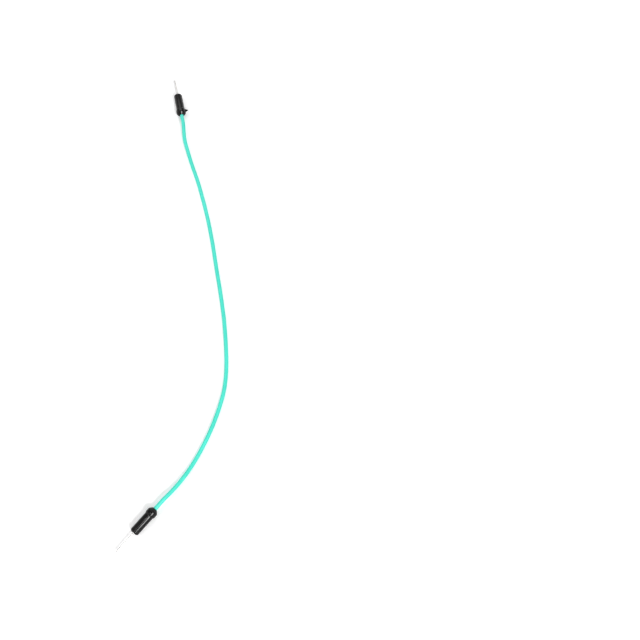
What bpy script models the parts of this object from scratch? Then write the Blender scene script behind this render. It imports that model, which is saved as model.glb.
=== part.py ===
"""Breadboard jumper wire: a stranded, insulated wire with a moulded pin plug on each end.

The wire lies on the surface z = 0 and joins plug A, towards +Y, to plug B, towards -Y.
The origin is under the middle of the two plugs. Sizes are in metres.
"""
import math

import bmesh
import bpy
from mathutils import Matrix, Vector
from mathutils.geometry import interpolate_bezier

MM = 0.001

# Conductor: one strand in the middle and six laid around it
STRAND_DIAMETER = 0.16 * MM
STRAND_GAP = 0.02 * MM
STRAND_LAY = 36.0 * MM
OUTER_STRANDS = 6

# Insulation
INSULATION_WALL = 0.405 * MM
CONDUCTOR_CLEARANCE = 0.035 * MM
WIRE_SIDES = 8
POINT_SPACING = 3.9 * MM
CURVE_STEPS = 24

# Steel pin
PIN_DIAMETER = 0.6 * MM
PIN_REACH = 8.0 * MM
PIN_TAIL = 1.7 * MM
PIN_POINT_LENGTH = 0.4 * MM
PIN_POINT_SHARE = 0.45
PIN_SIDES = 16

# Crimp sleeve that joins the strands to the pin
SLEEVE_WALL = 0.13 * MM
SLEEVE_NECK_DEPTH = 0.05 * MM
SLEEVE_NECK_LENGTH = 0.8 * MM
SLEEVE_NECK_SLOPE = 0.2 * MM
STRAND_GRIP = 1.75 * MM
BUTT_GAP = 0.15 * MM
INSERT_CLEARANCE = 0.05 * MM

# Plug moulding, measured along its axis from the wire end to the nose
WIRE_GRIP = 3.6 * MM
SLEEVE_START_GAP = 0.2 * MM
NOSE_GRIP = 2.85 * MM
BODY_DIAMETER = 3.2 * MM
COLLAR_STEP = 0.25 * MM
COLLAR_LENGTH = 2.9 * MM
COLLAR_SLOPE = 0.5 * MM
END_SLOPE = math.radians(43.0)
END_ROUND = 0.6 * MM
END_LIP = 0.13 * MM
END_ROUND_STEPS = 4
NOSE_CHAMFER = 0.45 * MM
MOULD_CLEARANCE = 0.05 * MM
ROUND_STEPS = 32
SHARP_ANGLE = math.radians(35.0)

# Stub that is left where the moulding was broken off its runner
GATE_FROM_END = 2.1 * MM
GATE_REACH = 1.05 * MM
GATE_ROOT = 0.5 * MM
GATE_LENGTH = 1.3 * MM
GATE_WIDTH = 0.9 * MM
GATE_TIP_SHARE = 0.3
GATE_SIDES = 8

# Where the wire leaves each plug, in plan, and which way the pin points, turned from +Y
EXIT_A = (4.5 * MM, 76.82 * MM)
EXIT_B = (5.05 * MM, -80.68 * MM)
HEADING_A = math.radians(12.7)
HEADING_B = math.radians(139.6)
GATE_ANGLE_A = math.radians(0.0)
GATE_ANGLE_B = math.radians(100.0)
STRAIGHT_EXIT = 4.0 * MM

# Route of the free wire between the plugs: x, y and the height of its underside, in millimetres
ROUTE = [
    (6.2, 66.0, 0.80),
    (7.9, 60.0, 0.32),
    (9.9, 53.8, 0.07),
    (12.4, 46.8, 0.02),
    (15.3, 37.0, 0.02),
    (17.6, 28.1, 0.02),
    (19.6, 18.7, 0.02),
    (21.4, 9.0, 0.02),
    (23.2, -0.4, 0.02),
    (25.0, -11.2, 0.02),
    (26.2, -22.0, 0.02),
    (26.7, -31.0, 0.02),
    (26.3, -38.0, 0.02),
    (25.3, -43.2, 0.02),
    (23.6, -49.2, 0.02),
    (21.4, -55.3, 0.02),
    (19.0, -60.7, 0.02),
    (16.5, -65.5, 0.06),
    (13.7, -70.0, 0.26),
    (10.4, -74.4, 0.72),
]

# Sizes that follow from the ones above
STRAND_RADIUS = STRAND_DIAMETER / 2
LAY_RADIUS = STRAND_DIAMETER + STRAND_GAP
BUNDLE_RADIUS = LAY_RADIUS + STRAND_RADIUS
BORE_RADIUS = (BUNDLE_RADIUS + CONDUCTOR_CLEARANCE) / math.cos(math.pi / WIRE_SIDES)
WIRE_RADIUS = BORE_RADIUS + INSULATION_WALL
PIN_RADIUS = PIN_DIAMETER / 2
SLEEVE_BORE = max(PIN_RADIUS, BUNDLE_RADIUS + SLEEVE_NECK_DEPTH) + INSERT_CLEARANCE
SLEEVE_RADIUS = SLEEVE_BORE + SLEEVE_WALL
BODY_RADIUS = BODY_DIAMETER / 2
COLLAR_RADIUS = BODY_RADIUS + COLLAR_STEP
WIRE_HOLE_RADIUS = WIRE_RADIUS + MOULD_CLEARANCE
POCKET_RADIUS = SLEEVE_RADIUS + MOULD_CLEARANCE
PIN_HOLE_RADIUS = PIN_RADIUS + MOULD_CLEARANCE

# Stations along a plug's axis, from its wire-end face towards the pin's tip
SLEEVE_START = WIRE_GRIP + SLEEVE_START_GAP
STRAND_END = SLEEVE_START + STRAND_GRIP
PIN_START = STRAND_END + BUTT_GAP
SLEEVE_END = PIN_START + PIN_TAIL
POCKET_START = WIRE_GRIP + SLEEVE_START_GAP / 2
POCKET_END = SLEEVE_END + MOULD_CLEARANCE
PLUG_LENGTH = POCKET_END + NOSE_GRIP
PIN_TIP = PLUG_LENGTH + PIN_REACH

# A plug rests on the front of its collar and the back of its nose chamfer, so it noses down a little
COLLAR_CONTACT = COLLAR_LENGTH - COLLAR_SLOPE
NOSE_CONTACT = PLUG_LENGTH - NOSE_CHAMFER
NOSE_DOWN = math.asin(COLLAR_STEP / math.hypot(NOSE_CONTACT - COLLAR_CONTACT, COLLAR_STEP))
EXIT_HEIGHT = COLLAR_RADIUS * math.cos(NOSE_DOWN) + COLLAR_CONTACT * math.sin(NOSE_DOWN)


def make_material(name, colour, roughness, metallic):
    material = bpy.data.materials.new(name)
    material.use_nodes = True
    shader = material.node_tree.nodes["Principled BSDF"]
    shader.inputs["Base Color"].default_value = (*colour, 1.0)
    shader.inputs["Roughness"].default_value = roughness
    shader.inputs["Metallic"].default_value = metallic
    return material


def add_object(name, data, material=None, parent=None):
    obj = bpy.data.objects.new(name, data)
    bpy.context.scene.collection.objects.link(obj)
    if material is not None:
        data.materials.append(material)
    obj.parent = parent
    return obj


def add_plug_frame(name, exit_point, heading):
    """An empty whose +Y runs from the wire-end face along the pin."""
    frame = add_object(name, None)
    frame.location = (*exit_point, EXIT_HEIGHT)
    frame.rotation_euler = (-NOSE_DOWN, 0.0, heading)
    return frame


def frame_matrix(exit_point, heading):
    """The same placing as a plug frame, as a matrix for the wire's ends."""
    turn = Matrix.Rotation(heading, 4, "Z") @ Matrix.Rotation(-NOSE_DOWN, 4, "X")
    return Matrix.Translation((*exit_point, EXIT_HEIGHT)) @ turn


def spun_mesh(name, profile):
    """Turn a closed outline of (station, radius) pairs about the Y axis."""
    bm = bmesh.new()
    verts = [bm.verts.new((0.0, station, radius)) for station, radius in profile]
    edges = [bm.edges.new((a, b)) for a, b in zip(verts, verts[1:] + verts[:1])]
    bmesh.ops.spin(
        bm,
        geom=verts + edges,
        cent=(0.0, 0.0, 0.0),
        axis=(0.0, 1.0, 0.0),
        dvec=(0.0, 0.0, 0.0),
        angle=2 * math.pi,
        steps=ROUND_STEPS,
        use_merge=True,
        use_duplicate=False,
    )
    return finished_mesh(name, bm)


def finished_mesh(name, bm):
    bmesh.ops.recalc_face_normals(bm, faces=bm.faces)
    mesh = bpy.data.meshes.new(name)
    bm.to_mesh(mesh)
    bm.free()
    mesh.shade_smooth()
    mesh.set_sharp_from_angle(angle=SHARP_ANGLE)
    return mesh


def rounded_end():
    """Outline of the plug's wire end: a blunt cone that is rounded into the collar's side."""
    lip = WIRE_HOLE_RADIUS + END_LIP
    shoulder = (COLLAR_RADIUS - lip) / math.tan(END_SLOPE) + END_ROUND * math.tan(END_SLOPE / 2)
    angles = [END_SLOPE * (1 - i / END_ROUND_STEPS) for i in range(END_ROUND_STEPS + 1)]
    arc = [(shoulder - END_ROUND * math.sin(a), COLLAR_RADIUS - END_ROUND * (1 - math.cos(a))) for a in angles]
    return [(0.0, lip), *arc]


def plug_outline():
    outside = [
        *rounded_end(),
        (COLLAR_CONTACT, COLLAR_RADIUS),
        (COLLAR_LENGTH, BODY_RADIUS),
        (NOSE_CONTACT, BODY_RADIUS),
        (PLUG_LENGTH, BODY_RADIUS - NOSE_CHAMFER),
    ]
    inside = [
        (PLUG_LENGTH, PIN_HOLE_RADIUS),
        (POCKET_END, PIN_HOLE_RADIUS),
        (POCKET_END, POCKET_RADIUS),
        (POCKET_START, POCKET_RADIUS),
        (POCKET_START, WIRE_HOLE_RADIUS),
        (0.0, WIRE_HOLE_RADIUS),
    ]
    return outside + inside


def gate_mesh(name, angle):
    """Tapered stub that stands on the collar, at that angle from +X towards +Z."""
    depth = GATE_ROOT + GATE_REACH
    middle = COLLAR_RADIUS - GATE_ROOT + depth / 2
    bm = bmesh.new()
    bmesh.ops.create_cone(
        bm,
        cap_ends=True,
        segments=GATE_SIDES,
        radius1=GATE_LENGTH / 2,
        radius2=GATE_LENGTH / 2 * GATE_TIP_SHARE,
        depth=depth,
        matrix=Matrix.Scale(GATE_WIDTH / GATE_LENGTH, 4, (1.0, 0.0, 0.0)),
    )
    lean_out = Matrix.Rotation(math.pi / 2, 4, "Y")
    stand = Matrix.Rotation(-angle, 4, "Y") @ Matrix.Translation((middle, GATE_FROM_END, 0.0)) @ lean_out
    bmesh.ops.transform(bm, matrix=stand, verts=bm.verts)
    return finished_mesh(name, bm)


def add_plug(name, frame, gate_angle, material):
    plug = add_object(name, spun_mesh(name, plug_outline()), material, frame)
    gate = add_object(name + "_gate_stub", gate_mesh(name + "_gate_stub", gate_angle), None, frame)
    gate.hide_render = True
    gate.display_type = "WIRE"
    union = plug.modifiers.new("gate stub", "BOOLEAN")
    union.operation = "UNION"
    union.solver = "EXACT"
    union.object = gate
    return plug


def add_pin(name, frame, material):
    point_radius = PIN_RADIUS * PIN_POINT_SHARE
    bm = bmesh.new()
    shank = PIN_TIP - PIN_POINT_LENGTH - PIN_START
    along = Matrix.Rotation(-math.pi / 2, 4, "X")
    bmesh.ops.create_cone(
        bm,
        cap_ends=True,
        segments=PIN_SIDES,
        radius1=PIN_RADIUS,
        radius2=PIN_RADIUS,
        depth=shank,
        matrix=Matrix.Translation((0.0, PIN_START + shank / 2, 0.0)) @ along,
    )
    front = max(bm.faces, key=lambda face: face.calc_center_median().y)
    tip = bmesh.ops.extrude_discrete_faces(bm, faces=[front])["faces"][0]
    bmesh.ops.translate(bm, vec=(0.0, PIN_POINT_LENGTH, 0.0), verts=tip.verts)
    narrow = Matrix.Diagonal((point_radius / PIN_RADIUS, 1.0, point_radius / PIN_RADIUS, 1.0))
    bmesh.ops.transform(bm, matrix=narrow, verts=tip.verts)
    return add_object(name, finished_mesh(name, bm), material, frame)


def add_sleeve(name, frame, material):
    """A tube with a shallow rolled neck where it bites on the strands."""
    neck_middle = (SLEEVE_START + STRAND_END) / 2
    neck = [neck_middle - SLEEVE_NECK_LENGTH / 2, neck_middle + SLEEVE_NECK_LENGTH / 2]
    steps = [
        (SLEEVE_START, 0.0),
        (neck[0], 0.0),
        (neck[0] + SLEEVE_NECK_SLOPE, SLEEVE_NECK_DEPTH),
        (neck[1] - SLEEVE_NECK_SLOPE, SLEEVE_NECK_DEPTH),
        (neck[1], 0.0),
        (SLEEVE_END, 0.0),
    ]
    outside = [(station, SLEEVE_RADIUS - depth) for station, depth in steps]
    inside = [(station, SLEEVE_BORE - depth) for station, depth in reversed(steps)]
    return add_object(name, spun_mesh(name, outside + inside), material, frame)


def smooth_curve(points):
    """A dense line along one smooth curve through the points."""
    last = len(points) - 1
    tangents = [
        (points[min(i + 1, last)] - points[max(i - 1, 0)]).normalized()
        for i in range(len(points))
    ]
    line = []
    for i in range(last):
        start, end = points[i], points[i + 1]
        reach = (end - start).length / 3
        leave = start + tangents[i] * reach
        arrive = end - tangents[i + 1] * reach
        line += interpolate_bezier(start, leave, arrive, end, CURVE_STEPS)[:-1]
    return line + [points[-1]]


def evenly_spaced(line, spacing):
    """Points along a dense line, the same distance apart, with both its ends kept."""
    travelled = [0.0]
    for a, b in zip(line, line[1:]):
        travelled.append(travelled[-1] + (b - a).length)
    count = max(2, round(travelled[-1] / spacing))
    points = []
    i = 0
    for n in range(count + 1):
        target = travelled[-1] * n / count
        while i < len(line) - 2 and travelled[i + 1] < target:
            i += 1
        share = (target - travelled[i]) / (travelled[i + 1] - travelled[i])
        points.append(line[i].lerp(line[i + 1], share))
    return points


def wire_points():
    """Points along the insulation's centre, from its end inside plug A to its end inside plug B."""
    end_a = frame_matrix(EXIT_A, HEADING_A)
    end_b = frame_matrix(EXIT_B, HEADING_B)
    stations = (WIRE_GRIP, 0.0, -STRAIGHT_EXIT)
    start = [end_a @ Vector((0.0, station, 0.0)) for station in stations]
    finish = [end_b @ Vector((0.0, station, 0.0)) for station in reversed(stations)]
    middle = [Vector((x * MM, y * MM, WIRE_RADIUS + lift * MM)) for x, y, lift in ROUTE]
    return evenly_spaced(smooth_curve(start + middle + finish), POINT_SPACING)


def strand_points(centre, lay_radius, phase):
    """The centre line moved out sideways, turning slowly along the wire, and on into both sleeves."""
    last = len(centre) - 1
    travelled = 0.0
    points = []
    for i, point in enumerate(centre):
        tangent = (centre[min(i + 1, last)] - centre[max(i - 1, 0)]).normalized()
        side = tangent.cross(Vector((0.0, 0.0, 1.0))).normalized()
        up = side.cross(tangent)
        travelled += (point - centre[max(i - 1, 0)]).length
        angle = phase + 2 * math.pi * travelled / STRAND_LAY
        points.append(point + lay_radius * (math.cos(angle) * side + math.sin(angle) * up))
    beyond = STRAND_END - WIRE_GRIP
    points.insert(0, points[0] + (centre[0] - centre[1]).normalized() * beyond)
    points.append(points[-1] + (centre[-1] - centre[-2]).normalized() * beyond)
    return points


def add_tube(name, points, radius, material, fill_caps):
    curve = bpy.data.curves.new(name, "CURVE")
    curve.dimensions = "3D"
    curve.bevel_depth = radius
    curve.bevel_resolution = (WIRE_SIDES - 4) // 2
    curve.use_fill_caps = fill_caps
    spline = curve.splines.new("POLY")
    spline.points.add(len(points) - 1)
    for spline_point, point in zip(spline.points, points):
        spline_point.co = (*point, 1.0)
    return add_object(name, curve, material)


def add_insulation(points, material):
    tube = add_tube("insulation", points, WIRE_RADIUS, material, fill_caps=False)
    wall = tube.modifiers.new("wall", "SOLIDIFY")
    wall.thickness = INSULATION_WALL
    wall.offset = -1.0
    wall.use_even_offset = False
    wall.use_rim = True
    return tube


def main():
    for obj in list(bpy.data.objects):
        bpy.data.objects.remove(obj, do_unlink=True)

    green = make_material("sea_green_pvc", (0.06, 0.75, 0.58), 0.42, 0.0)
    black = make_material("black_pvc", (0.022, 0.021, 0.022), 0.45, 0.0)
    steel = make_material("plated_steel", (0.72, 0.71, 0.69), 0.28, 1.0)
    brass = make_material("brass", (0.78, 0.6, 0.3), 0.35, 1.0)
    tinned = make_material("tinned_copper", (0.8, 0.76, 0.7), 0.35, 1.0)

    for letter, exit_point, heading, gate_angle in (
        ("a", EXIT_A, HEADING_A, GATE_ANGLE_A),
        ("b", EXIT_B, HEADING_B, GATE_ANGLE_B),
    ):
        frame = add_plug_frame("end_" + letter, exit_point, heading)
        add_plug("plug_" + letter, frame, gate_angle, black)
        add_pin("pin_" + letter, frame, steel)
        add_sleeve("crimp_sleeve_" + letter, frame, brass)

    centre = wire_points()
    add_insulation(centre, green)
    add_tube("strand_middle", strand_points(centre, 0.0, 0.0), STRAND_RADIUS, tinned, fill_caps=True)
    for i in range(OUTER_STRANDS):
        phase = 2 * math.pi * i / OUTER_STRANDS
        points = strand_points(centre, LAY_RADIUS, phase)
        add_tube(f"strand_{i + 1}", points, STRAND_RADIUS, tinned, fill_caps=True)


main()
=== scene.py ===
"""Looks of a breadboard jumper wire: its insulation, moulded plugs and pins, on a white table."""

import math

import bmesh
import bpy
from mathutils import Matrix, Vector
from mathutils.geometry import interpolate_bezier


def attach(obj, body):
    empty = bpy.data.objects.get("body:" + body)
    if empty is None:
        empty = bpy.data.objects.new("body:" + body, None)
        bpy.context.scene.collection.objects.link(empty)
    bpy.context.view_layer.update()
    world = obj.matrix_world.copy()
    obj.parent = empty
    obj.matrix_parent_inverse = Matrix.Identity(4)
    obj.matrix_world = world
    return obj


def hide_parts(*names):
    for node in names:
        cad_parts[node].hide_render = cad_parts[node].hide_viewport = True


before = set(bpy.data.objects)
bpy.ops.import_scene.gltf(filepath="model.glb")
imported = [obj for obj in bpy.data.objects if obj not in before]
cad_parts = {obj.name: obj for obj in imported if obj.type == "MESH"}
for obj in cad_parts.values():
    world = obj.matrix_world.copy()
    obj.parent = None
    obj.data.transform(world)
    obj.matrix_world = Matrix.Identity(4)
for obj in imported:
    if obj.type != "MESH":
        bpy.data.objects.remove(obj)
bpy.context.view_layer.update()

MM = 0.001

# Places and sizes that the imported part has
EXIT_A = (4.5 * MM, 76.82 * MM)
EXIT_B = (5.05 * MM, -80.68 * MM)
HEADING_A = math.radians(12.7)
HEADING_B = math.radians(139.6)
GATE_ANGLE_A = math.radians(0.0)
GATE_ANGLE_B = math.radians(100.0)
STRAIGHT_EXIT = 4.0 * MM
WIRE_RADIUS = 0.7243 * MM
WIRE_GRIP = 3.6 * MM
WIRE_HOLE_RADIUS = 0.7743 * MM
POCKET_START = 3.7 * MM
POCKET_END = 7.45 * MM
POCKET_RADIUS = 0.54 * MM
PIN_RADIUS = 0.3 * MM
PIN_HOLE_RADIUS = 0.35 * MM
PIN_START = 5.7 * MM
PLUG_LENGTH = 10.3 * MM
PIN_TIP = 18.3 * MM
BODY_RADIUS = 1.6 * MM
COLLAR_RADIUS = 1.85 * MM
COLLAR_LENGTH = 2.9 * MM
COLLAR_SLOPE = 0.5 * MM
END_SLOPE = math.radians(43.0)
END_ROUND = 0.6 * MM
END_LIP = 0.13 * MM
NOSE_CHAMFER = 0.45 * MM
GATE_FROM_END = 2.1 * MM
GATE_REACH = 1.05 * MM

# The plug rests on its collar and on the edge of its nose, so its nose points down a little
COLLAR_CONTACT = COLLAR_LENGTH - COLLAR_SLOPE
NOSE_CONTACT = PLUG_LENGTH - NOSE_CHAMFER
COLLAR_STEP = COLLAR_RADIUS - BODY_RADIUS
NOSE_DOWN = math.asin(COLLAR_STEP / math.hypot(NOSE_CONTACT - COLLAR_CONTACT, COLLAR_STEP))
EXIT_HEIGHT = COLLAR_RADIUS * math.cos(NOSE_DOWN) + COLLAR_CONTACT * math.sin(NOSE_DOWN)

# Route of the free wire: x, y and the height of its underside, in metres
ROUTE = [
    (0.0062, 0.0660, 0.00080),
    (0.0079, 0.0600, 0.00032),
    (0.0099, 0.0538, 0.00007),
    (0.0124, 0.0468, 0.00002),
    (0.0153, 0.0370, 0.00002),
    (0.0176, 0.0281, 0.00002),
    (0.0196, 0.0187, 0.00002),
    (0.0214, 0.0090, 0.00002),
    (0.0232, -0.0004, 0.00002),
    (0.0250, -0.0112, 0.00002),
    (0.0262, -0.0220, 0.00002),
    (0.0267, -0.0310, 0.00002),
    (0.0263, -0.0380, 0.00002),
    (0.0253, -0.0432, 0.00002),
    (0.0236, -0.0492, 0.00002),
    (0.0214, -0.0553, 0.00002),
    (0.0190, -0.0607, 0.00002),
    (0.0165, -0.0655, 0.00006),
    (0.0137, -0.0700, 0.00026),
    (0.0104, -0.0744, 0.00072),
]
WIRE_DIAMETER = 0.00145

# Fine forms of the mouldings that only this file has: softened edges, the dimple round the pin,
# the parting ridge (on points this close to the gate's plane, by the sine of the angle) and the torn gate
NOSE_EDGE = 0.08 * MM
DIMPLE_RADIUS = 0.62 * MM
DIMPLE_FLOOR_RADIUS = 0.52 * MM
DIMPLE_DEPTH = 0.05 * MM
PARTING_RIDGE = 0.022 * MM
PARTING_FROM_AXIS = 1.0 * MM
PARTING_SINE = 0.01
GATE_FLATNESS = 0.7
TORN_DEPTH = 0.2 * MM
TORN_SLANT_ALONG = 0.45
TORN_SLANT_ACROSS = 0.2

# How finely the shapes are divided
END_ARC_STEPS = 12
PLUG_STEPS = 160
GATE_STEPS = 24
PIN_STEPS = 32
CURVE_STEPS = 14
WELD_DISTANCE = 1e-7
SHARP_ANGLE = math.radians(35.0)

# The darker and the brighter tone of each finish
SHEATH_TONES = ((0.070, 0.825, 0.648), (0.094, 0.905, 0.730))
MOULDING_TONES = ((0.0035, 0.0032, 0.0032), (0.0080, 0.0073, 0.0073))
PIN_TONES = ((0.80, 0.79, 0.77), (0.90, 0.89, 0.87))
STRAND_TONES = ((0.66, 0.62, 0.56), (0.84, 0.80, 0.74))
BRASS_TONES = ((0.62, 0.44, 0.19), (0.82, 0.64, 0.33))
TABLE_TONE = (0.88, 0.88, 0.88)
WHITE = (1.0, 1.0, 1.0)

# Studio: distances in metres, the horizon as the Z of a direction of length 1
TABLE_HALF_SIDE = 2.0
TABLE_LIFT = 0.32
WHITE_FROM = 0.25
WHITE_BEYOND = 0.50
HORIZON_WHITE = 0.08
HORIZON_TOP = 0.32
AIR_LIGHT = 0.25
CAMERA_PLACE = (0.0601, -0.1370, 0.3000)
CAMERA_TILT = math.radians(22.7)

# Each lamp's direction from the middle, distance, width, height and radiance
SOFTBOXES = {
    "back_softbox": ((-0.14, 0.66, 0.74), 1.0, 0.80, 0.45, 2.4),
    "left_softbox": ((-0.72, -0.30, 0.62), 1.0, 0.70, 0.70, 1.9),
    "right_front_softbox": ((0.406, -0.622, 0.670), 0.926, 0.22, 0.22, 34.0),
}


class Socket:
    """A node's output that can be used in Python sums."""

    def __init__(self, finish, output):
        self.finish = finish
        self.output = output

    def sum_of(self, operation, first, second):
        return self.finish.node("ShaderNodeMath", {"operation": operation}, {0: first, 1: second})

    def __add__(self, other):
        return self.sum_of("ADD", self, other)

    def __radd__(self, other):
        return self.sum_of("ADD", other, self)

    def __sub__(self, other):
        return self.sum_of("SUBTRACT", self, other)

    def __rsub__(self, other):
        return self.sum_of("SUBTRACT", other, self)

    def __mul__(self, other):
        return self.sum_of("MULTIPLY", self, other)

    def __rmul__(self, other):
        return self.sum_of("MULTIPLY", other, self)


class Finish:
    """A material or a world whose nodes are added one at a time."""

    def __init__(self, owner):
        owner.use_nodes = True
        self.owner = owner
        self.tree = owner.node_tree

    def node(self, kind, settings=None, sockets=None, output=0):
        made = self.tree.nodes.new(kind)
        for key, value in (settings or {}).items():
            if key == "stops":
                set_stops(made.color_ramp, value)
            else:
                setattr(made, key, value)
        for key, value in (sockets or {}).items():
            self.feed(made.inputs[key], value)
        return Socket(self, made.outputs[output])

    def feed(self, socket, value):
        if isinstance(value, Socket):
            self.tree.links.new(value.output, socket)
        else:
            socket.default_value = value

    def place(self, scale=(1.0, 1.0, 1.0), turn=(0.0, 0.0, 0.0)):
        """Object coordinates, turned about the origin and then stretched."""
        coordinates = self.node("ShaderNodeTexCoord", output="Object")
        sockets = {"Vector": coordinates, "Rotation": turn}
        turned = self.node("ShaderNodeMapping", {"vector_type": "POINT"}, sockets)
        return self.node("ShaderNodeVectorMath", {"operation": "MULTIPLY"}, {0: turned, 1: scale})

    def noise(self, vector, scale, detail, roughness=0.5):
        sockets = {"Vector": vector, "Scale": scale, "Detail": detail, "Roughness": roughness}
        return self.node("ShaderNodeTexNoise", None, sockets)

    def ramp(self, value, *stops):
        """A grey ramp: each stop is a place from 0 to 1 and a value."""
        return self.node("ShaderNodeValToRGB", {"stops": stops}, {"Fac": value})

    def mixed(self, mask, tones):
        """From the first tone to the second by the mask, through a Mix node's colour sockets."""
        sockets = {0: mask, 6: colour(tones[0]), 7: colour(tones[1])}
        return self.node("ShaderNodeMix", {"data_type": "RGBA"}, sockets, output=2)

    def bump(self, height, strength, distance):
        sockets = {"Height": height, "Strength": strength, "Distance": distance}
        return self.node("ShaderNodeBump", None, sockets)

    def wear(self, sockets, shader="Principled BSDF"):
        """Set or link the shader's own sockets."""
        for key, value in sockets.items():
            self.feed(self.tree.nodes[shader].inputs[key], value)
        return self.owner

    def rays(self, kind):
        """1 for light paths of this kind and 0 for others."""
        return self.node("ShaderNodeLightPath", output=kind)


def new_finish(name):
    return Finish(bpy.data.materials.new(name))


def set_stops(ramp, stops):
    while len(ramp.elements) < len(stops):
        ramp.elements.new(0.5)
    for element, (position, value) in zip(ramp.elements, stops):
        element.position = position
        element.color = colour((value, value, value))


def colour(tone):
    return (*tone, 1.0)


def sea_green_sheath():
    """Soft extruded PVC: satin, with faint clouding in the colour and fine die lines."""
    finish = new_finish("sea_green_pvc_sheath")
    place = finish.place()
    clouds = finish.noise(place, scale=90.0, detail=2.0)
    grain = finish.noise(place, scale=2600.0, detail=3.0)
    along_wire = finish.node("ShaderNodeUVMap", {"uv_map": "UVMap"})
    die_lines = finish.noise(along_wire, scale=40.0, detail=2.0)
    shade = finish.ramp(clouds, (0.3, 0.0), (0.7, 1.0))
    relief = 0.6 * grain + 0.4 * die_lines
    return finish.wear({
        "Base Color": finish.mixed(shade, SHEATH_TONES),
        "Roughness": 0.34 + 0.10 * grain + 0.05 * clouds,
        "Normal": finish.bump(relief, strength=0.25, distance=0.02 * MM),
    })


def black_moulding(name, heading):
    """Black PVC out of a finely eroded mould: satin, with rubbed high spots."""
    finish = new_finish(name)
    turn = (0.0, 0.0, -heading)
    place = finish.place(turn=turn)
    texture = finish.noise(place, scale=6500.0, detail=4.0, roughness=0.6)
    handling = finish.noise(place, scale=700.0, detail=3.0)
    streaks = finish.noise(finish.place(scale=(1.0, 0.12, 1.0), turn=turn), scale=2600.0, detail=2.0)
    rubbed = finish.ramp(handling, (0.52, 0.0), (0.72, 1.0))
    relief = 0.7 * texture + 0.3 * streaks
    return finish.wear({
        "Base Color": finish.mixed(rubbed, MOULDING_TONES),
        "Roughness": 0.17 + 0.08 * texture - 0.04 * rubbed + 0.04 * streaks,
        "Specular IOR Level": 0.3,
        "Normal": finish.bump(relief, strength=0.2, distance=0.01 * MM),
    })


def plated_pin(name, heading):
    """Plated steel wire, with the fine marks of drawing along it."""
    finish = new_finish(name)
    stretched = finish.place(scale=(1.0, 0.03, 1.0), turn=(0.0, 0.0, -heading))
    drawn = finish.noise(stretched, scale=9000.0, detail=3.0)
    cloud = finish.noise(finish.place(), scale=900.0, detail=2.0)
    return finish.wear({
        "Metallic": 1.0,
        "Base Color": finish.mixed(cloud, PIN_TONES),
        "Roughness": 0.30 + 0.16 * drawn + 0.06 * cloud,
        "Normal": finish.bump(drawn, strength=0.2, distance=0.01 * MM),
    })


def drawn_metal(name, tones, roughness, grain_scale):
    """Metal of the parts inside, with a fine grain."""
    finish = new_finish(name)
    grain = finish.noise(finish.place(), scale=grain_scale, detail=3.0)
    return finish.wear({
        "Metallic": 1.0,
        "Base Color": finish.mixed(grain, tones),
        "Roughness": roughness + 0.15 * grain,
        "Normal": finish.bump(grain, strength=0.2, distance=0.01 * MM),
    })


def plug_frame(exit_point, heading):
    """Place of a plug: +Y runs from its wire end along the pin."""
    turn = Matrix.Rotation(heading, 4, "Z") @ Matrix.Rotation(-NOSE_DOWN, 4, "X")
    return Matrix.Translation((*exit_point, EXIT_HEIGHT)) @ turn


def spin_outline(bm, outline, steps):
    """Turn (station, radius) pairs about the Y axis and weld what meets.

    An outline that starts off the axis is closed into a ring before it is turned.
    """
    verts = [bm.verts.new((0.0, station, radius)) for station, radius in outline]
    edges = [bm.edges.new(pair) for pair in zip(verts, verts[1:])]
    if outline[0][1] > 0.0:
        edges.append(bm.edges.new((verts[-1], verts[0])))
    bmesh.ops.spin(
        bm,
        geom=verts + edges,
        cent=(0.0, 0.0, 0.0),
        axis=(0.0, 1.0, 0.0),
        dvec=(0.0, 0.0, 0.0),
        angle=2 * math.pi,
        steps=steps,
        use_merge=True,
        use_duplicate=False,
    )
    bmesh.ops.remove_doubles(bm, verts=bm.verts, dist=WELD_DISTANCE)


def new_piece(name, mesh):
    """Put the mesh into the scene at the origin, riding on the object."""
    piece = bpy.data.objects.new(name, mesh)
    bpy.context.scene.collection.objects.link(piece)
    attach(piece, "root")
    return piece


def turned_piece(name, bm, material):
    """Make a piece of a turned shape, smooth but for its sharp edges."""
    bmesh.ops.recalc_face_normals(bm, faces=bm.faces)
    mesh = bpy.data.meshes.new(name)
    bm.to_mesh(mesh)
    bm.free()
    mesh.materials.append(material)
    mesh.shade_smooth()
    mesh.set_sharp_from_angle(angle=SHARP_ANGLE)
    return new_piece(name, mesh)


def blunt_end():
    """The wire end's blunt cone, rounded into the narrow face round the wire and into the collar's side."""
    lip = WIRE_HOLE_RADIUS + END_LIP
    shoulder = (COLLAR_RADIUS - lip) / math.tan(END_SLOPE) + END_ROUND * math.tan(END_SLOPE / 2)
    angles = [END_SLOPE * (1 - i / END_ARC_STEPS) for i in range(END_ARC_STEPS + 1)]
    rim = [(0.0, lip - 0.03 * MM), (0.012 * MM, lip), (0.05 * MM, lip + 0.045 * MM)]
    arc = [
        (shoulder - END_ROUND * math.sin(a), COLLAR_RADIUS - END_ROUND * (1 - math.cos(a)))
        for a in angles
    ]
    return rim + arc


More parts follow.
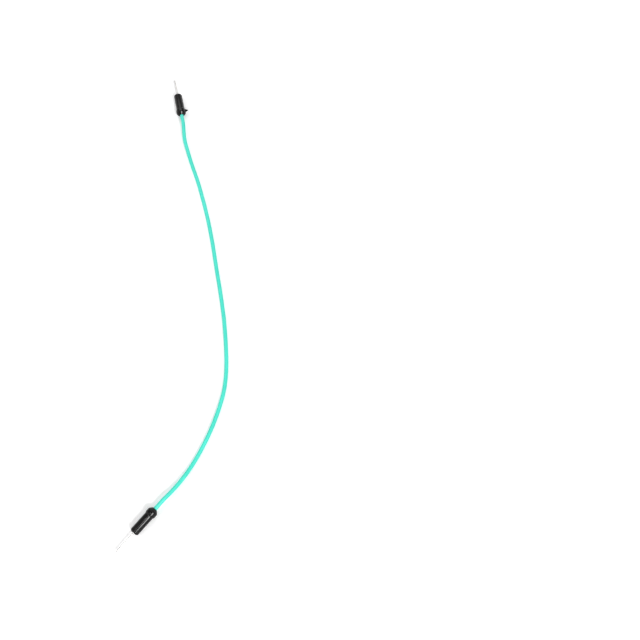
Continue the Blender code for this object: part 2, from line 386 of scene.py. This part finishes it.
def plug_outline():
    """Outline of the moulding with its softened edges, and of the holes for the wire and the pin."""
    edge = NOSE_EDGE
    slope = [
        (COLLAR_CONTACT + COLLAR_SLOPE * t, COLLAR_RADIUS - COLLAR_STEP * (3 * t * t - 2 * t ** 3))
        for t in (0.0, 0.15, 0.3, 0.45, 0.6, 0.75, 0.9, 1.0)
    ]
    nose_face = BODY_RADIUS - NOSE_CHAMFER
    outside = [
        *blunt_end(),
        *slope,
        (NOSE_CONTACT - edge, BODY_RADIUS),
        (NOSE_CONTACT, BODY_RADIUS - 0.25 * edge),
        (NOSE_CONTACT + 0.7 * edge, BODY_RADIUS - edge),
        (PLUG_LENGTH - edge, nose_face + 0.9 * edge),
        (PLUG_LENGTH - 0.2 * edge, nose_face + 0.1 * edge),
        (PLUG_LENGTH, nose_face - 0.6 * edge),
        (PLUG_LENGTH, DIMPLE_RADIUS),
        (PLUG_LENGTH - DIMPLE_DEPTH, DIMPLE_FLOOR_RADIUS),
    ]
    inside = [
        (PLUG_LENGTH - 0.06 * MM, PIN_HOLE_RADIUS),
        (POCKET_END, PIN_HOLE_RADIUS),
        (POCKET_END, POCKET_RADIUS),
        (POCKET_START, POCKET_RADIUS),
        (POCKET_START, WIRE_HOLE_RADIUS),
        (0.05 * MM, WIRE_HOLE_RADIUS),
        (0.0, WIRE_HOLE_RADIUS + 0.04 * MM),
    ]
    return outside + inside


def raise_parting_line(bm, gate_angle):
    """A fine ridge along both sides of the moulding, in the plane of the gate."""
    for vert in bm.verts:
        across = math.hypot(vert.co.x, vert.co.z)
        if across < PARTING_FROM_AXIS:
            continue
        angle = math.atan2(vert.co.z, vert.co.x) - gate_angle
        if abs(math.sin(angle)) < PARTING_SINE:
            vert.co.x *= 1 + PARTING_RIDGE / across
            vert.co.z *= 1 + PARTING_RIDGE / across


def gate_stub(gate_angle):
    """The torn-off gate: a flared, tapering stub with a slanted end, and its foot inside the collar."""
    top = GATE_REACH
    outline = [
        (-0.45 * MM, 0.0),
        (-0.45 * MM, 0.74 * MM),
        (-0.15 * MM, 0.74 * MM),
        (-0.02 * MM, 0.68 * MM),
        (0.12 * MM, 0.60 * MM),
        (0.35 * MM, 0.49 * MM),
        (0.70 * MM, 0.35 * MM),
        (top - 0.10 * MM, 0.245 * MM),
        (top - 0.03 * MM, 0.215 * MM),
        (top, 0.15 * MM),
        (top, 0.0),
    ]
    bm = bmesh.new()
    spin_outline(bm, outline, GATE_STEPS)
    for vert in bm.verts:
        if vert.co.y > top - TORN_DEPTH:
            vert.co.y += TORN_SLANT_ALONG * vert.co.x - TORN_SLANT_ACROSS * vert.co.z
    flatten = Matrix.Scale(GATE_FLATNESS, 4, (0.0, 0.0, 1.0))
    stand = Matrix.Rotation(-math.pi / 2, 4, "Z")
    swing = Matrix.Rotation(-gate_angle, 4, "Y")
    place = swing @ Matrix.Translation((COLLAR_RADIUS, GATE_FROM_END, 0.0)) @ stand @ flatten
    bmesh.ops.transform(bm, matrix=place, verts=bm.verts)
    mesh = bpy.data.meshes.new("gate_stub")
    bm.to_mesh(mesh)
    bm.free()
    return mesh


def plug(letter, exit_point, heading, gate_angle):
    """One moulding with its gate stub."""
    bm = bmesh.new()
    spin_outline(bm, plug_outline(), PLUG_STEPS)
    bmesh.ops.rotate(bm, matrix=Matrix.Rotation(-gate_angle - math.pi / 2, 3, "Y"), verts=bm.verts)
    raise_parting_line(bm, gate_angle)
    stub = gate_stub(gate_angle)
    bm.from_mesh(stub)
    bpy.data.meshes.remove(stub)
    bmesh.ops.transform(bm, matrix=plug_frame(exit_point, heading), verts=bm.verts)
    material = black_moulding("black_pvc_plug_" + letter, heading)
    piece = turned_piece("moulded_plug_" + letter, bm, material)
    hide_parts("plug_" + letter)


def pin(letter, exit_point, heading):
    """A drawn pin with a bevelled, rounded-off tip."""
    outline = [
        (PIN_START, 0.0),
        (PIN_START, PIN_RADIUS - 0.03 * MM),
        (PIN_START + 0.03 * MM, PIN_RADIUS),
        (PIN_TIP - 0.45 * MM, PIN_RADIUS),
        (PIN_TIP - 0.38 * MM, PIN_RADIUS - 0.012 * MM),
        (PIN_TIP - 0.10 * MM, 0.165 * MM),
        (PIN_TIP - 0.035 * MM, 0.125 * MM),
        (PIN_TIP - 0.008 * MM, 0.075 * MM),
        (PIN_TIP, 0.0),
    ]
    bm = bmesh.new()
    spin_outline(bm, outline, PIN_STEPS)
    bmesh.ops.transform(bm, matrix=plug_frame(exit_point, heading), verts=bm.verts)
    material = plated_pin("plated_steel_pin_" + letter, heading)
    piece = turned_piece("plated_pin_" + letter, bm, material)
    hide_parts("pin_" + letter)


def smooth_curve(points):
    """A dense line along one smooth curve through the points."""
    last = len(points) - 1
    tangents = [
        (points[min(i + 1, last)] - points[max(i - 1, 0)]).normalized() for i in range(len(points))
    ]
    line = []
    for i in range(last):
        start, end = points[i], points[i + 1]
        reach = (end - start).length / 3
        leave = start + tangents[i] * reach
        arrive = end - tangents[i + 1] * reach
        line += interpolate_bezier(start, leave, arrive, end, CURVE_STEPS)[:-1]
    return line + [points[-1]]


def wire_centre():
    """The insulation's centre line, from its end inside plug A to its end inside plug B."""
    end_a = plug_frame(EXIT_A, HEADING_A)
    end_b = plug_frame(EXIT_B, HEADING_B)
    stations = (WIRE_GRIP, 0.0, -STRAIGHT_EXIT)
    start = [end_a @ Vector((0.0, station, 0.0)) for station in stations]
    finish = [end_b @ Vector((0.0, station, 0.0)) for station in reversed(stations)]
    middle = [Vector((x, y, WIRE_RADIUS + lift)) for x, y, lift in ROUTE]
    return smooth_curve(start + middle + finish)


def insulation():
    """The sheath: a round tube along the centre line."""
    centre = wire_centre()
    curve = bpy.data.curves.new("sheath_line", "CURVE")
    curve.dimensions = "3D"
    curve.bevel_depth = WIRE_DIAMETER / 2
    curve.bevel_resolution = 10
    curve.use_fill_caps = True
    spline = curve.splines.new("POLY")
    spline.points.add(len(centre) - 1)
    for spline_point, point in zip(spline.points, centre):
        spline_point.co = (*point, 1.0)
    line = bpy.data.objects.new("sheath_line", curve)
    bpy.context.scene.collection.objects.link(line)
    bpy.context.view_layer.update()
    shown = line.evaluated_get(bpy.context.evaluated_depsgraph_get())
    mesh = bpy.data.meshes.new_from_object(shown)
    bpy.data.objects.remove(line)
    mesh.name = "wire_sheath"
    mesh.materials.clear()
    mesh.materials.append(sea_green_sheath())
    mesh.shade_smooth()
    piece = new_piece("wire_sheath", mesh)
    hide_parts("insulation")


def refinish_inner_parts():
    """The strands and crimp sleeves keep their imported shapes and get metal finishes."""
    tinned = drawn_metal("tinned_copper_strand", STRAND_TONES, roughness=0.26, grain_scale=4000.0)
    brass = drawn_metal("crimped_brass", BRASS_TONES, roughness=0.28, grain_scale=3000.0)
    for name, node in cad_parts.items():
        if name.startswith("strand"):
            node.material_slots[0].material = tinned
        elif name.startswith("crimp_sleeve"):
            node.material_slots[0].material = brass


def table():
    """A white table that keeps the object's shadow near it and is plain white further away."""
    finish = new_finish("white_table")
    finish.wear({"Base Color": colour(TABLE_TONE), "Roughness": 0.7, "Specular IOR Level": 0.2})
    board = Socket(finish, finish.tree.nodes["Principled BSDF"].outputs[0])
    seen = finish.rays("Is Camera Ray")
    mirrored = finish.rays("Is Glossy Ray")
    white = {"Color": colour(WHITE)}
    lift = finish.node("ShaderNodeEmission", None, {**white, "Strength": TABLE_LIFT * seen})
    near = finish.node("ShaderNodeAddShader", None, {0: board, 1: lift})
    far = finish.node("ShaderNodeEmission", None, {**white, "Strength": 1.0})
    place = {0: finish.place()}
    away = finish.node("ShaderNodeVectorMath", {"operation": "LENGTH"}, place, output="Value")
    faded = finish.ramp(away, (WHITE_FROM, 0.0), (WHITE_BEYOND, 1.0)) * (seen + mirrored)
    whole = finish.node("ShaderNodeMixShader", None, {0: faded, 1: near, 2: far})
    finish.feed(finish.tree.nodes["Material Output"].inputs["Surface"], whole)
    bm = bmesh.new()
    bmesh.ops.create_grid(bm, x_segments=1, y_segments=1, size=TABLE_HALF_SIDE)
    mesh = bpy.data.meshes.new("table_top")
    bm.to_mesh(mesh)
    bm.free()
    mesh.materials.append(finish.owner)
    top = bpy.data.objects.new("table_top", mesh)
    bpy.context.scene.collection.objects.link(top)


def studio_air():
    """Even light from all round. It is white to the camera, and in reflections near the horizon."""
    air = Finish(bpy.data.worlds.new("studio"))
    direction = air.node("ShaderNodeTexCoord", output="Generated")
    height = air.node("ShaderNodeSeparateXYZ", None, {"Vector": direction}, output="Z")
    backdrop = air.ramp(height, (HORIZON_WHITE, 1.0), (HORIZON_TOP, 0.0))
    white = air.rays("Is Camera Ray") + air.rays("Is Glossy Ray") * backdrop
    strength = AIR_LIGHT + (1.0 - AIR_LIGHT) * white
    world = air.wear({"Color": colour(WHITE), "Strength": strength}, "Background")
    bpy.context.scene.world = world


def softbox(name, direction, distance, width, height, radiance):
    """A rectangular lamp that faces the middle of the object."""
    lamp = bpy.data.lights.new(name, "AREA")
    lamp.shape = "RECTANGLE"
    lamp.size = width
    lamp.size_y = height
    lamp.energy = radiance * math.pi * width * height
    holder = bpy.data.objects.new(name, lamp)
    away = Vector(direction).normalized()
    holder.location = away * distance
    holder.rotation_mode = "QUATERNION"
    holder.rotation_quaternion = away.to_track_quat("Z", "Y")
    bpy.context.scene.collection.objects.link(holder)


def camera():
    lens = bpy.data.cameras.new("camera")
    lens.lens = 50.0
    lens.sensor_width = 36.0
    lens.clip_start = 0.01
    lens.clip_end = 20.0
    holder = bpy.data.objects.new("camera", lens)
    holder.location = CAMERA_PLACE
    holder.rotation_euler = (CAMERA_TILT, 0.0, 0.0)
    bpy.context.scene.collection.objects.link(holder)
    bpy.context.scene.camera = holder


camera()
insulation()
for letter, exit_point, heading, gate_angle in (
    ("a", EXIT_A, HEADING_A, GATE_ANGLE_A),
    ("b", EXIT_B, HEADING_B, GATE_ANGLE_B),
):
    plug(letter, exit_point, heading, gate_angle)
    pin(letter, exit_point, heading)
refinish_inner_parts()
table()
studio_air()
for name, lamp in SOFTBOXES.items():
    softbox(name, *lamp)
bpy.context.scene.view_settings.view_transform = "Standard"
